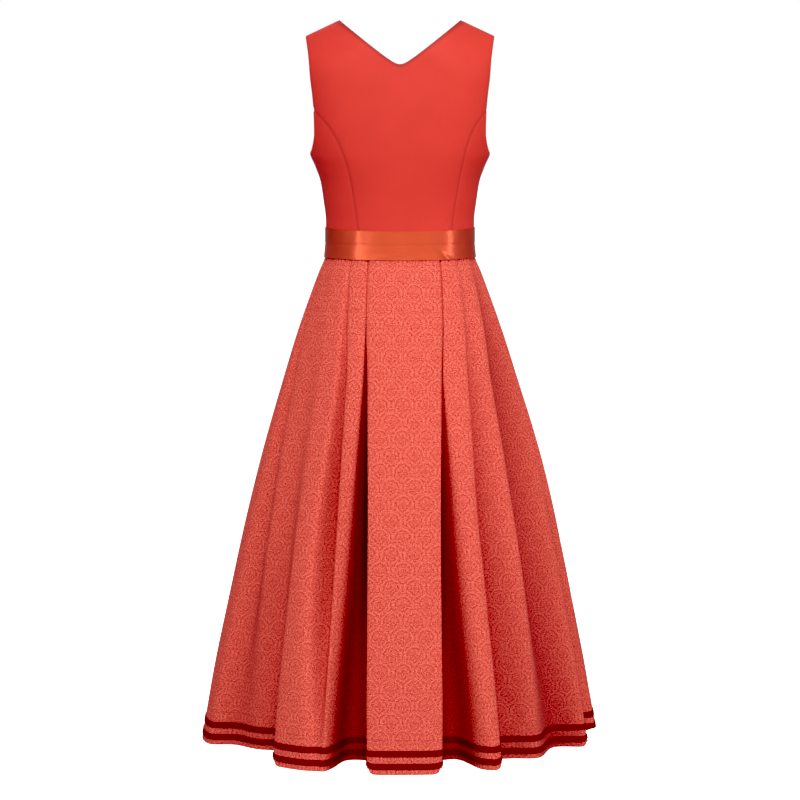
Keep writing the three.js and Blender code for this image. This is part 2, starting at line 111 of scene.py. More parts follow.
class Shader:
    def __init__(self, tree):
        self.tree = tree

    def node(self, kind, settings=None, **inputs):
        made = self.tree.nodes.new(kind)
        for key, value in (settings or {}).items():
            setattr(made, key, value)
        for key, value in inputs.items():
            socket = self.find(made, key)
            if isinstance(value, Value):
                self.tree.links.new(value.socket, socket)
            elif socket.type == "RGBA" and len(value) == 3:
                socket.default_value = (*value, 1)
            else:
                socket.default_value = value
        return made

    def find(self, made, key):
        wanted = key.replace("_", " ").lower()
        for socket in made.inputs:
            if socket.enabled and (socket.identifier.lower() == key.lower() or socket.name.lower() == wanted):
                return socket
        raise KeyError(f"{made.bl_idname} has no input {key}")

    def value(self, kind, settings=None, out=0, **inputs):
        made = self.node(kind, settings, **inputs)
        return Value(self, made.outputs[out])

    def maths(self, operation, *terms):
        made = self.tree.nodes.new("ShaderNodeMath")
        made.operation = operation
        for socket, term in zip(made.inputs, terms):
            if isinstance(term, Value):
                self.tree.links.new(term.socket, socket)
            else:
                socket.default_value = term
        return Value(self, made.outputs[0])

    def blend(self, a, b, factor, way="MIX"):
        made = self.tree.nodes.new("ShaderNodeMix")
        made.data_type = "RGBA"
        made.blend_type = way
        for socket, term in ((made.inputs[0], factor), (made.inputs[6], a), (made.inputs[7], b)):
            if isinstance(term, Value):
                self.tree.links.new(term.socket, socket)
            elif isinstance(term, tuple):
                socket.default_value = (*term, 1)
            else:
                socket.default_value = term
        return Value(self, made.outputs[2])

    def shade(self, color, factor):
        made = self.tree.nodes.new("ShaderNodeVectorMath")
        made.operation = "SCALE"
        self.tree.links.new(color.socket, made.inputs[0])
        self.tree.links.new(factor.socket, made.inputs["Scale"])
        return Value(self, made.outputs[0])


class Value:
    def __init__(self, shader, socket):
        self.shader = shader
        self.socket = socket

    def __add__(self, other): return self.shader.maths("ADD", self, other)
    def __radd__(self, other): return self.shader.maths("ADD", other, self)
    def __sub__(self, other): return self.shader.maths("SUBTRACT", self, other)
    def __rsub__(self, other): return self.shader.maths("SUBTRACT", other, self)
    def __mul__(self, other): return self.shader.maths("MULTIPLY", self, other)
    def __rmul__(self, other): return self.shader.maths("MULTIPLY", other, self)
    def __truediv__(self, other): return self.shader.maths("DIVIDE", self, other)
    def __rtruediv__(self, other): return self.shader.maths("DIVIDE", other, self)
    def __abs__(self): return self.shader.maths("ABSOLUTE", self)
    def __lt__(self, other): return self.shader.maths("LESS_THAN", self, other)
    def __gt__(self, other): return self.shader.maths("GREATER_THAN", self, other)
    def fract(self): return self.shader.maths("FRACT", self)
    def sine(self): return self.shader.maths("SINE", self)
    def root(self): return self.shader.maths("SQRT", self)
    def least(self, other): return self.shader.maths("MINIMUM", self, other)
    def most(self, other): return self.shader.maths("MAXIMUM", self, other)

    # One at the line, fading to nothing at the given distance from it.
    def line(self, width): return (1 - abs(self) / width).most(0.0)


def newMaterial(name):
    material = bpy.data.materials.new(name)
    material.use_nodes = True
    material.node_tree.nodes.clear()
    return material, Shader(material.node_tree)


def finishMaterial(shader, bsdf, bump=None):
    if bump is not None:
        shader.tree.links.new(bump.outputs[0], bsdf.inputs["Normal"])
    output = shader.node("ShaderNodeOutputMaterial")
    shader.tree.links.new(bsdf.outputs[0], output.inputs["Surface"])


# The grain coordinates of the cloth, whole and then across and up.
def clothUv(shader):
    uv = shader.tree.nodes.new("ShaderNodeUVMap")
    uv.uv_map = "cloth"
    split = shader.tree.nodes.new("ShaderNodeSeparateXYZ")
    shader.tree.links.new(uv.outputs[0], split.inputs[0])
    return Value(shader, uv.outputs[0]), Value(shader, split.outputs[0]), Value(shader, split.outputs[1])


# The value that the mesh holds under this name at each place.
def mark(shader, name):
    return shader.value("ShaderNodeAttribute", {"attribute_name": name}, out=2)


def noise(shader, vector, scale, detail=2.0, roughness=0.5):
    return shader.value("ShaderNodeTexNoise", None, Vector=vector, Scale=scale,
                        Detail=detail, Roughness=roughness)


# Materials

redSheen = (1.0, 0.45, 0.35, 1)
# The edge colour is painted shade for the seam lines and the neck's faced edge.
crepe = {
    "color": (0.665, 0.085, 0.060), "deep": (0.565, 0.074, 0.054), "edge": (0.27, 0.055, 0.046),
    "thread": 0.00035, "roughness": 0.55, "specular": 0.16, "bump": 0.16, "bumpDepth": 0.0002,
}

def crepeMaterial():
    material, s = newMaterial("bodice crepe")
    uv, u, v = clothUv(s)
    cloudy = noise(s, uv, 14.0, 3.0)
    fine = noise(s, uv, 900.0, 2.0)
    warp, weft = ((run * (2 * math.pi / crepe["thread"])).sine() for run in (u, v))
    weave = warp * weft * 0.5 + fine * 1.2
    color = s.blend(crepe["deep"], crepe["color"], (cloudy * 1.1 + 0.25).least(1.0))
    color = s.shade(color, 0.95 + weave * 0.05)
    # Painted shade: seam lines and the neck's faced edge are darkened towards the edge colour.
    color = s.blend(color, crepe["edge"], mark(s, "rim") * 0.85)
    bump = s.node("ShaderNodeBump", None, Strength=crepe["bump"], Distance=crepe["bumpDepth"], Height=weave)
    bsdf = s.node("ShaderNodeBsdfPrincipled", None, Base_Color=color,
                  Roughness=crepe["roughness"] + cloudy * 0.12, Sheen_Weight=0.03, Sheen_Roughness=0.45)
    bsdf.inputs["Sheen Tint"].default_value = redSheen
    bsdf.inputs["Specular IOR Level"].default_value = crepe["specular"]
    finishMaterial(s, bsdf, bump)
    return material


jacquard = {
    "ground": (0.706, 0.130, 0.0906), "dark": (0.42, 0.058, 0.046), "light": (0.94, 0.252, 0.185),
    "repeat": (0.0395, 0.0565), "unit": 0.001755, "roughness": 0.82,
    "paintedFoldShade": (0.60, 0.47, 0.51), "hemStitch": 0.057, "stitch": 0.0035, "stitchShare": 0.62,
    "stitchHigh": 0.0012, "yarn": 0.0011, "specular": 0.08, "bump": 0.35, "bumpDepth": 0.0004,
}

# The repeat is an ogee trellis: upright stems that part into curved arms, with a sprig in each
# cell. Cells stand in half-drop rows. x and y are measured from the middle of a cell.
def jacquardMaterial():
    material, s = newMaterial("skirt jacquard")
    uv, u, v = clothUv(s)
    pixel = jacquard["unit"]
    width = jacquard["repeat"][0] / pixel
    height = jacquard["repeat"][1] / pixel
    waver = (noise(s, uv, 260.0, 1.0) - 0.5) * 1.3
    x0, y0 = u / pixel + waver, v / pixel + waver
    near = [((x0 / width + 0.5 * n).fract() - 0.5) * width for n in (0, 1)]
    along = [((y0 / height + 0.5 * n).fract() - 0.5) * height for n in (0, 1)]
    tip, drop = 12.6, 9.1
    reach = []
    for a, b in zip(near, along):
        t = abs(a) * (2 / width)
        arm = t + (t * (2 * math.pi)).sine() * 0.075
        reach.append(t.most((abs(b) + arm * drop) / tip))
    first = reach[0] < reach[1]
    x = abs(near[0]) * first + abs(near[1]) * (1 - first)
    y = along[0] * first + along[1] * (1 - first)
    edge = reach[0].least(reach[1])

    def spot(px, py, radius):
        return (1 - (((x - px) * (x - px) + (y - py) * (y - py)).root()) / radius).most(0.0)

    core = (edge - 1.0).line(0.055)
    arch = ((x * x / 46 + y * y / 44).root() - 1).line(0.11) * (y > -2.5)
    petal = ((x * x / 76 + y * y / 72).root() - 1).line(0.09) * (y > -1.0)
    arm = (y + 9.8 - x * 0.9).line(0.8) * (x < 6.2)
    vee = (y + 7.2 - x * 0.8).line(0.8) * (x < 5.0)
    leaf = (y - 10.8 + x * 0.75).line(0.7) * (x < 5.4)
    stem = (x - 9.5).line(0.7) * (abs(y) < 3.8)
    sprig = (x + abs(y + 1.2) - 2.7).line(0.7) * 0.8
    dots = spot(0.0, -1.2, 1.2) + spot(0.0, 3.4, 1.2) + spot(4.2, -1.6, 1.3) + spot(3.0, -4.2, 1.3)
    dots = dots + spot(7.6, -4.6, 1.3) + spot(8.6, 5.0, 1.4) + spot(5.2, 8.6, 1.2) + spot(7.4, 1.0, 1.2)
    flecks = spot(2.3, 2.4, 1.2) + spot(4.6, 1.2, 1.2) + spot(0.0, 5.2, 1.3) + spot(6.3, -7.4, 1.3)
    flecks = flecks + spot(6.2, -2.6, 1.2) + spot(2.2, -2.9, 1.1) + spot(9.6, 6.4, 1.4) + spot(9.2, -5.9, 1.3)
    speckle = noise(s, uv, 520.0, 1.0, 0.6)
    slub = noise(s, uv, 400.0, 2.0, 0.7)
    dark = (core + arch + vee + sprig + dots).least(1.0) * (slub * 3.4 - 1.0).most(0.1) * 0.9
    dark = dark + (0.5 - speckle).most(0.0) * 4.6
    light = (arm + leaf + stem + flecks + petal).least(1.0) * (slub * 3.6 - 1.1).most(0.05) * 0.42
    light = light + (speckle - 0.51).most(0.0) * 5.0
    warp, weft = ((run * (2 * math.pi / jacquard["yarn"])).sine() for run in (u, v))
    color = s.blend(jacquard["ground"], jacquard["dark"], dark.least(1.0))
    color = s.blend(color, jacquard["light"], light.least(1.0))
    color = s.shade(color, 0.75 + slub * 0.5 + warp * weft * 0.03)
    # Painted shade: the fold mark darkens and reddens the cloth in deep pleats.
    color = s.blend(color, jacquard["paintedFoldShade"], mark(s, "fold"), "MULTIPLY")
    # A row of small stitches holds the turned-up hem.
    hem = (mark(s, "aboveHem") - jacquard["hemStitch"]).line(jacquard["stitchHigh"])
    stitch = hem * ((u / jacquard["stitch"]).fract() < jacquard["stitchShare"])
    color = s.blend(color, jacquard["dark"], stitch * 0.55)
    relief = light * 0.6 - dark * 0.8 + warp * weft * 0.25 + speckle * 0.5 - hem * 1.2
    bump = s.node("ShaderNodeBump", None, Strength=jacquard["bump"], Distance=jacquard["bumpDepth"],
                  Height=relief)
    bsdf = s.node("ShaderNodeBsdfPrincipled", None, Base_Color=color,
                  Roughness=jacquard["roughness"] - light * 0.2, Sheen_Weight=0.02, Sheen_Roughness=0.5)
    bsdf.inputs["Sheen Tint"].default_value = redSheen
    bsdf.inputs["Specular IOR Level"].default_value = jacquard["specular"]
    finishMaterial(s, bsdf, bump)
    return material


# The turned colour is painted shade for the sash's sides, where the ribbon turns away.
satin = {
    "color": (0.79, 0.155, 0.079), "dark": (0.70, 0.125, 0.075), "turned": (0.43, 0.078, 0.055),
    "rib": 0.0009, "roughness": 0.2, "metallic": 0.35, "specular": 0.3, "shine": (1.0, 0.72, 0.34, 1),
    "floatGrain": (30.0, 700.0, 1.0), "bump": 0.04, "bumpDepth": 0.0002,
}

def satinMaterial():
    material, s = newMaterial("sash satin")
    uv, _, v = clothUv(s)
    streak = s.value("ShaderNodeMapping", {"vector_type": "POINT"}, Vector=uv,
                     Scale=satin["floatGrain"])
    floats = noise(s, streak, 1.0, 3.0)
    cloudy = noise(s, uv, 22.0, 2.0)
    ribs = (v * (2 * math.pi / satin["rib"])).sine()
    color = s.blend(satin["dark"], satin["color"], (cloudy * 0.7 + 0.5).least(1.0))
    color = s.shade(color, 0.93 + floats * 0.14)
    # Painted shade: the ribbon darkens towards its sides by the turned mark.
    color = s.blend(color, satin["turned"], mark(s, "turned") * (cloudy * 0.6 + 0.7))
    bump = s.node("ShaderNodeBump", None, Strength=satin["bump"], Distance=satin["bumpDepth"],
                  Height=floats + ribs * 0.15)
    bsdf = s.node("ShaderNodeBsdfPrincipled", None, Base_Color=color,
                  Roughness=satin["roughness"] + floats * 0.08)
    bsdf.inputs["Metallic"].default_value = satin["metallic"]
    bsdf.inputs["Specular IOR Level"].default_value = satin["specular"]
    bsdf.inputs["Specular Tint"].default_value = satin["shine"]
    finishMaterial(s, bsdf, bump)
    return material


velvet = {
    "color": (0.20, 0.020, 0.030), "light": (0.28, 0.025, 0.035), "sheenTint": (0.6, 0.02, 0.03, 1),
    "specular": 0.1, "bump": 0.5, "bumpDepth": 0.0005,
}

def velvetMaterial():
    material, s = newMaterial("velvet pile")
    uv, _, _ = clothUv(s)
    pile = noise(s, uv, 1500.0, 2.0, 0.7)
    nap = noise(s, uv, 45.0, 3.0, 0.6)
    color = s.blend(velvet["color"], velvet["light"], (nap * pile * 1.2).least(1.0))
    bump = s.node("ShaderNodeBump", None, Strength=velvet["bump"], Distance=velvet["bumpDepth"],
                  Height=pile + nap)
    bsdf = s.node("ShaderNodeBsdfPrincipled", None, Base_Color=color, Roughness=0.9 - nap * 0.1,
                  Sheen_Weight=0.2, Sheen_Roughness=0.35)
    bsdf.inputs["Sheen Tint"].default_value = velvet["sheenTint"]
    bsdf.inputs["Specular IOR Level"].default_value = velvet["specular"]
    finishMaterial(s, bsdf, bump)
    return material


def floorMaterial():
    material, s = newMaterial("pale floor")
    place = s.value("ShaderNodeTexCoord", out=3)
    grain = noise(s, place, 6.0, 2.0)
    color = s.blend(floorPlan["grain"], floorPlan["color"], grain)
    bsdf = s.node("ShaderNodeBsdfPrincipled", None, Base_Color=color, Roughness=0.95,
                  Emission_Color=(1.0, 1.0, 1.0), Emission_Strength=floorPlan["glow"])
    bsdf.inputs["Specular IOR Level"].default_value = 0.0
    finishMaterial(s, bsdf)
    return material


floor.data.materials.append(floorMaterial())
crepeCloth, jacquardCloth = crepeMaterial(), jacquardMaterial()
satinCloth, velvetCloth = satinMaterial(), velvetMaterial()
print("materials")


# Small maths

sharpEdge = 50  # in degrees: edges that bend more than this stay sharp


def mix(a, b, t):
    return a + (b - a) * t


# A smooth curve through values at knots that never overshoots them.
def through(knots, values, at):
    k, v = (knots, values) if knots[-1] > knots[0] else (knots[::-1], values[::-1])
    x = min(max(at, k[0]), k[-1])
    i = 0
    while i < len(k) - 2 and x > k[i + 1]:
        i += 1

    def chord(j):
        return (v[j + 1] - v[j]) / (k[j + 1] - k[j])

    def slope(j):
        if j == 0:
            return chord(0)
        if j == len(k) - 1:
            return chord(j - 1)
        before, after = chord(j - 1), chord(j)
        return 0.0 if before * after <= 0 else 2 * before * after / (before + after)

    h = k[i + 1] - k[i]
    t = (x - k[i]) / h
    held = (1 + 2 * t) * (1 - t) ** 2 * v[i] + t * t * (3 - 2 * t) * v[i + 1]
    return held + h * (t * (1 - t) ** 2 * slope(i) - t * t * (1 - t) * slope(i + 1))


def column(rows, name):
    return [row[name] for row in rows]


def smooth(t):
    t = min(max(t, 0.0), 1.0)
    return t * t * (3 - 2 * t)


# A cloth from a grid of places in millimetres, its grain coordinates in millimetres, and its
# thickness. Faces are turned away from the upright middle of the dress.
def clothFromGrid(name, points, grain, thickness, material, closed=False, marks=None):
    rows, columns = points.shape[:2]
    flat = points.reshape(-1, 3)
    faces = []
    for r in range(rows - 1):
        for c in range(columns if closed else columns - 1):
            d = (c + 1) % columns
            faces.append((r * columns + c, (r + 1) * columns + c, (r + 1) * columns + d, r * columns + d))
    quads = np.array(faces)
    a, b, d = flat[quads[:, 0]], flat[quads[:, 1]], flat[quads[:, 3]]
    normals = np.cross(b - a, d - a)
    middles = (a + b + d) / 3
    if (normals[:, 0] * middles[:, 0] + normals[:, 1] * middles[:, 1]).sum() < 0:
        quads = quads[:, ::-1]
    mesh = bpy.data.meshes.new(name)
    mesh.from_pydata((flat / 1000).tolist(), [], quads.tolist())
    layer = mesh.uv_layers.new(name="cloth")
    corners = np.empty(len(mesh.loops), int)
    mesh.loops.foreach_get("vertex_index", corners)
    places = grain.reshape(-1, 2)[corners] / 1000
    layer.data.foreach_set("uv", places.ravel())
    for markName, values in (marks or {}).items():
        attribute = mesh.attributes.new(markName, "FLOAT", "POINT")
        attribute.data.foreach_set("value", values.ravel())
    mesh.materials.append(material)
    piece = bpy.data.objects.new(name, mesh)
    scene.collection.objects.link(piece)
    bpy.ops.object.select_all(action="DESELECT")
    piece.select_set(True)
    bpy.context.view_layer.objects.active = piece
    wall = piece.modifiers.new("wall", "SOLIDIFY")
    wall.thickness = thickness / 1000
    wall.offset = -1
    bpy.ops.object.modifier_apply(modifier="wall")
    bpy.ops.object.shade_smooth_by_angle(angle=math.radians(sharpEdge))
    piece.select_set(False)
    return piece


# Hangs a finished cloth on the dress in place of its solid.
def wear(piece, node):
    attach(piece, "root")
    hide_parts(node)


# The direction out of the cloth at each place of a grid.
def gridNormals(points):
    down = np.gradient(points, axis=0)
    across = np.gradient(points, axis=1)
    normals = np.cross(down, across)
    normals /= np.maximum(np.linalg.norm(normals, axis=2, keepdims=True), 1e-9)
    radial = points[:, :, :2]
    outward = (normals[:, :, 0] * radial[:, :, 0] + normals[:, :, 1] * radial[:, :, 1]).sum()
    return normals if outward > 0 else -normals


# Bodice

torso = [
    {"z": -372, "halfWidth": 129.3, "back": 88, "front": 103, "squareness": 2.1},
    {"z": -335, "halfWidth": 129.3, "back": 87, "front": 105, "squareness": 2.1},
    {"z": -294, "halfWidth": 134, "back": 89, "front": 114, "squareness": 2.15},
    {"z": -266, "halfWidth": 138.5, "back": 92, "front": 121, "squareness": 2.2},
    {"z": -238, "halfWidth": 148, "back": 95, "front": 126, "squareness": 2.25},
    {"z": -217, "halfWidth": 157, "back": 97, "front": 127, "squareness": 2.3},
    {"z": -180, "halfWidth": 163, "back": 99, "front": 124, "squareness": 2.45},
    {"z": -140, "halfWidth": 168, "back": 100, "front": 117, "squareness": 2.6},
    {"z": -100, "halfWidth": 172, "back": 99, "front": 107, "squareness": 2.8},
    {"z": -50, "halfWidth": 176, "back": 96, "front": 96, "squareness": 3},
    {"z": 60, "halfWidth": 182, "back": 92, "front": 88, "squareness": 3},
]
shoulder = {"neckX": 104.7, "neckZ": 14, "tipX": 163.6, "tipZ": -13.5, "back": 95, "front": 112}
bust = {"x": 74, "z": -236, "lift": 13, "wide": 40, "high": 52, "fade": 25}
bodice = {
    "cloth": 1.5, "bottom": -369.8, "gap": 0.02, "underarm": -217,
    "backNeck": (-61, 12), "frontNeck": (-152, 16), "edgeTurn": 3.4, "edgeRoll": 0.75,
    "topRoll": 0.5, "topTurn": 0.8, "seamShade": 0.4, "neckShade": [0.3, 0.65, 0.9, 1.0],
    "gapLean": 1.25, "shoulderGap": 0.12, "backSeamShare": 0.64, "frontSeamShare": 0.74, "underarmBend": 1.2,
    "princessZ": [-140, -170, -200, -235, -280, -330, -370],
    "backRight": [149, 128, 116, 107.5, 99, 91.5, 88],
    "backLeft": [148, 121, 103.5, 91, 81.5, 74.5, 70],
    "front": [147, 122, 102, 89, 80, 75, 73],
    "armholeZ": [-13.5, -29, -54, -85, -112, -140],
    "armholeBack": [163.6, 160.8, 157.4, 154.9, 151.6, 149],
    "armholeFront": [163.6, 159, 153, 148, 146, 147],
    "underBackZ": [-140, -167, -181, -195, -209, -217], "underBackX": [149, 148.3, 148.3, 150.1, 153.6, 157],
    "underFrontZ": [-140, -167, -185, -199, -211, -217], "underFrontX": [147, 147.5, 149, 151, 154, 157],
    "seamSteps": 44, "armholeSteps": 30, "shoulderSteps": 12, "neckSteps": 34, "sideSteps": 24,
}
torsoZ = column(torso, "z")
ridgeSlope = (shoulder["neckZ"] - shoulder["tipZ"]) / (shoulder["tipX"] - shoulder["neckX"])


def torsoAt(name, z):
    return through(torsoZ, column(torso, name), z)


def ridgeZ(x):
    return shoulder["neckZ"] - (abs(x) - shoulder["neckX"]) * ridgeSlope


# A place on the bodice, by its angle round the body from the middle of the back and its height
# measured over the shoulder.
def torsoPoint(angle, height):
    turn = math.radians(angle)
    isFront = abs(angle) > 90
    power = torsoAt("squareness", height)
    across = abs(math.sin(turn)) / torsoAt("halfWidth", height)
    along = abs(math.cos(turn)) / torsoAt("front" if isFront else "back", height)
    radius = (across ** power + along ** power) ** (-1 / power)
    x, y = radius * math.sin(turn), radius * math.cos(turn)
    if isFront:
        near = ((abs(x) - bust["x"]) / bust["wide"]) ** 2 + ((height - bust["z"]) / bust["high"]) ** 2
        y -= bust["lift"] * math.exp(-near) * min(1, (abs(angle) - 90) / bust["fade"])
    over = shoulder["front" if isFront else "back"]
    base = ridgeZ(x) - over
    lean = min(max((height - base) / over, 0), math.pi / 2)
    z = height if height <= base else base + over * math.sin(lean)
    return x, y * math.cos(lean), z


# The angle and cloth height of a place given by its distance from the middle and its z.
def placeAt(x, z, isFront):
    over = shoulder["front" if isFront else "back"]
    base = ridgeZ(x) - over
    height = z if z <= base else base + over * math.asin(min(1, (z - base) / over))
    low, high = 0.0, 90.0
    for _ in range(30):
        middle = (low + high) / 2
        if abs(torsoPoint(180 - middle if isFront else middle, height)[0]) < abs(x):
            low = middle
        else:
            high = middle
    return (180 - low if isFront else low), height


def slowEnd(s):
    return 1 - (1 - s) ** 2


# The places up a seam or edge whose distance from the middle is xs at the heights zs.
def edgeUp(xs, zs, isFront, steps, spacing=lambda s: s):
    places = []
    for i in range(steps + 1):
        z = mix(zs[-1], zs[0], spacing(i / steps))
        places.append(placeAt(through(zs, xs, z), z, isFront))
    return places


def shifted(places, distance):
    moved = []
    for angle, height in places:
        x, y, _ = torsoPoint(angle, height)
        moved.append((angle + math.degrees(bodice["gapLean"] * distance / math.hypot(x, y)), height))
    return moved


# A panel between its two edges, with its top rows bent to the shape of the top edge.
def spannedGrid(edges, side):
    top, start, end = (np.array(edges[key]) for key in ("top", "start", "end"))
    rows, columns = len(start), len(top)
    grid = np.empty((rows, columns, 3))
    for r in range(rows):
        bend = max(0, (r - edges["bendFrom"]) / (rows - 1 - edges["bendFrom"]))
        for c in range(columns):
            u = c / (columns - 1)
            angle, height = mix(start[r], end[r], u) + bend * (top[c] - mix(top[0], top[-1], u))
            grid[r, c] = torsoPoint(side * angle, height)
    return grid


def centreEdges(isFront, seamX, middleX):
    away = 1 if isFront else -1
    neckZ, roundX = bodice["frontNeck" if isFront else "backNeck"]
    seam = edgeUp(seamX, bodice["princessZ"], isFront, bodice["seamSteps"])
    seam = shifted(seam, away * bodice["gap"] / 2)
    seam[0] = (seam[0][0], bodice["bottom"])
    armholeX = bodice["armholeFront" if isFront else "armholeBack"]
    hole = edgeUp(armholeX, bodice["armholeZ"], isFront, bodice["armholeSteps"], slowEnd)
    ridge = []
    for i in range(bodice["shoulderSteps"] + 1):
        x = mix(shoulder["tipX"], shoulder["neckX"], i / bodice["shoulderSteps"])
        angle, height = placeAt(x, ridgeZ(x), isFront)
        ridge.append((angle, height - bodice["shoulderGap"]))

    def rounded(x):
        return math.hypot(x, roundX) - roundX

    top = []
    for i in range(bodice["neckSteps"]):
        x = mix(middleX, shoulder["neckX"], smooth(i / bodice["neckSteps"]))
        z = mix(neckZ, shoulder["neckZ"], rounded(x) / rounded(shoulder["neckX"]))
        top.append(placeAt(x, z, isFront))
    top.append(ridge[-1])
    end = seam + hole[1:-1] + ridge
    share = bodice["frontSeamShare" if isFront else "backSeamShare"]
    seamSteps, steps = bodice["seamSteps"], len(end) - 1
    low = (placeAt(middleX, bodice["bottom"], isFront)[0], bodice["bottom"])
    start = []
    for i in range(steps + 1):
        if i < seamSteps:
            rise = share * i / seamSteps
        else:
            rise = mix(share, 1, (i - seamSteps) / (steps - seamSteps))
        start.append((mix(low[0], top[0][0], rise), mix(low[1], top[0][1], rise)))
    return {"top": top, "start": start, "end": end, "bendFrom": seamSteps}


def sideEdges(isFront, seamX):
    towards = -1 if isFront else 1
    zs = bodice["underFrontZ" if isFront else "underBackZ"]
    xs = bodice["underFrontX" if isFront else "underBackX"]
    underZ = bodice["underarm"]
    steps, columns, bend = bodice["seamSteps"], bodice["sideSteps"], bodice["underarmBend"]
    start = edgeUp(seamX, bodice["princessZ"], isFront, steps)
    start = shifted(start, towards * bodice["gap"] / 2)
    start[0] = (start[0][0], bodice["bottom"])
    sideAngle = 90 - math.degrees(towards * bodice["gap"] / 2 * bodice["gapLean"] / torso[0]["halfWidth"])
    top = []
    for i in range(columns + 1):
        z = mix(zs[0], underZ, math.sin(i / columns * bend) / math.sin(bend))
        angle = placeAt(through(zs, xs, z), z, isFront)[0]
        top.append((max(angle, sideAngle) if isFront else min(angle, sideAngle), z))
    top[0] = start[-1]
    top[-1] = (sideAngle, underZ)
    end = [(sideAngle, mix(bodice["bottom"], underZ, i / steps)) for i in range(steps + 1)]
    return {"top": top, "start": start, "end": end, "bendFrom": 0}


# The edges of a panel roll in a little and turn under, as a sewn or faced edge does.
def turnedEdges(grid):
    normals = gridNormals(grid)
    turn, roll = bodice["edgeTurn"], bodice["edgeRoll"]
    shaped = grid.copy()
    shaped[:, -1] -= normals[:, -1] * roll
    shaped[:, 0] -= normals[:, 0] * roll
    shaped[-1] -= normals[-1] * roll * bodice["topRoll"]
    first, last = grid[:, :1] - normals[:, :1] * turn, grid[:, -1:] - normals[:, -1:] * turn
    wide = np.concatenate([first, shaped, last], axis=1)
    inner = np.concatenate([normals[-1:, :1], normals[-1:], normals[-1:, -1:]], axis=1)
    return np.concatenate([wide, wide[-1:] - inner * turn * bodice["topTurn"]], axis=0)


# How far each place lies along its row (axis 1) or its column (axis 0), from the first.
def runAlong(grid, axis):
    steps = np.linalg.norm(np.diff(grid, axis=axis), axis=2)
    first = np.zeros_like(np.take(steps, [0], axis=axis))
    return np.concatenate([first, np.cumsum(steps, axis=axis)], axis=axis)


# Grain coordinates: across is measured along each row from the given column, up is the height.
def grainOf(grid, fromColumn):
    across = runAlong(grid, 1)
    across -= across[:, fromColumn:fromColumn + 1]
    return np.stack([across, runAlong(grid, 0)], axis=2)


# Longest row and longest column in metres, and the area in square metres.
def flatSize(grid):
    across = np.linalg.norm(np.diff(grid, axis=1), axis=2).sum(axis=1).max() / 1000
    up = np.linalg.norm(np.diff(grid, axis=0), axis=2).sum(axis=0).max() / 1000
    a, b, c, d = grid[:-1, :-1], grid[1:, :-1], grid[:-1, 1:], grid[1:, 1:]
    halves = (np.linalg.norm(np.cross(b - a, c - a), axis=2)
              + np.linalg.norm(np.cross(b - d, c - d), axis=2))
    return across, up, halves.sum() / 2e6


def bodicePanel(node, grid, middleColumn):
    shaped = turnedEdges(grid)
    # Painted shade along the seam lines and the neck's faced edge.
    rim = np.zeros(shaped.shape[:2])  # seam lines and the neck's faced edge lie in their own shade
    rim[:, 1] = rim[:, -2] = bodice["seamShade"]
    rim[:, 0] = rim[:, -1] = 1
    if "side" not in node:
        rim[-4:] = np.array(bodice["neckShade"])[:, None]
    piece = clothFromGrid(node + "_cloth", shaped, grainOf(shaped, middleColumn), bodice["cloth"], crepeCloth,
                          marks={"rim": rim})
    across, up, area = flatSize(shaped)
    wear(piece, node)


rightHalf = spannedGrid(centreEdges(False, bodice["backRight"], 0), -1)
leftHalf = spannedGrid(centreEdges(False, bodice["backLeft"], 0), 1)
backGrid = np.concatenate([rightHalf[:, :0:-1], leftHalf], axis=1)
bodicePanel("bodice_back", backGrid, backGrid.shape[1] // 2)
for side, word in ((1, "left"), (-1, "right")):
    backSeam = bodice["backLeft"] if side > 0 else bodice["backRight"]
    for place, isFront, seamX in (("back", False, backSeam), ("front", True, bodice["front"])):
        grid = spannedGrid(sideEdges(isFront, seamX), side)
        bodicePanel(f"bodice_side_{place}_{word}", grid, 0)
    frontGrid = spannedGrid(centreEdges(True, bodice["front"], bodice["gap"] / 2), side)
    bodicePanel(f"bodice_front_{word}", frontGrid, 0)
print("bodice")


# Skirt

skirt = {
    "cloth": 1.2, "waistZ": -370, "hemZ": -1244, "samples": 9, "rowStep": 7.5,
    "waistBack": 86.9, "waistFront": 101.9, "backGrowth": 1.068, "frontGrowth": 0.985,
    "frontShare": 0.86, "frontSway": 2.2,
    "roundBelow": 300, "endGap": 0.004, "waistGap": 0.15, "shadeFrom": 1.5, "shadeReach": 7,
    "hemRows": 10, "hemStep": 3, "cornerLift": 10, "cornerWide": 13, "cornerHigh": 13,
}
# Fold lines whose hem corners are rounded: inward is the side where the cloth turns under.
foldEdges = [
    {"line": 6, "inward": -1, "under": 26},
    {"line": 16, "inward": -1, "under": 30},
    {"line": 18, "inward": 1, "under": 30},
    {"line": 25, "inward": 1, "under": 26},
    {"line": 31, "inward": 1, "under": 16},
]
# How much painted shade the cloth's colour gets at each fold line: deep pleats get the most.
foldShade = {
    2: 0.4, 3: 0.2, 4: 0.34, 8: 0.36, 9: 0.5, 10: 0.2, 11: 0.5, 12: 1, 13: 1, 14: 1, 15: 0.2,
    19: 0.2, 20: 1, 21: 1, 22: 0.82, 23: 0.08, 27: 0.85, 28: 0.6, 29: 0.2, 30: 1, 31: 0.35, 32: 0.8,
}
skirtWidth = [
    {"z": -370, "half": 128.2},
    {"z": -396, "half": 130.9},
    {"z": -420, "half": 140.6},
    {"z": -472, "half": 160},
    {"z": -525, "half": 178.5},
    {"z": -610, "half": 204.5},
    {"z": -737, "half": 240.9},
    {"z": -860, "half": 271.5},
    {"z": -1000, "half": 301.5},
    {"z": -1110, "half": 324},
    {"z": -1244, "half": 346.5},
]
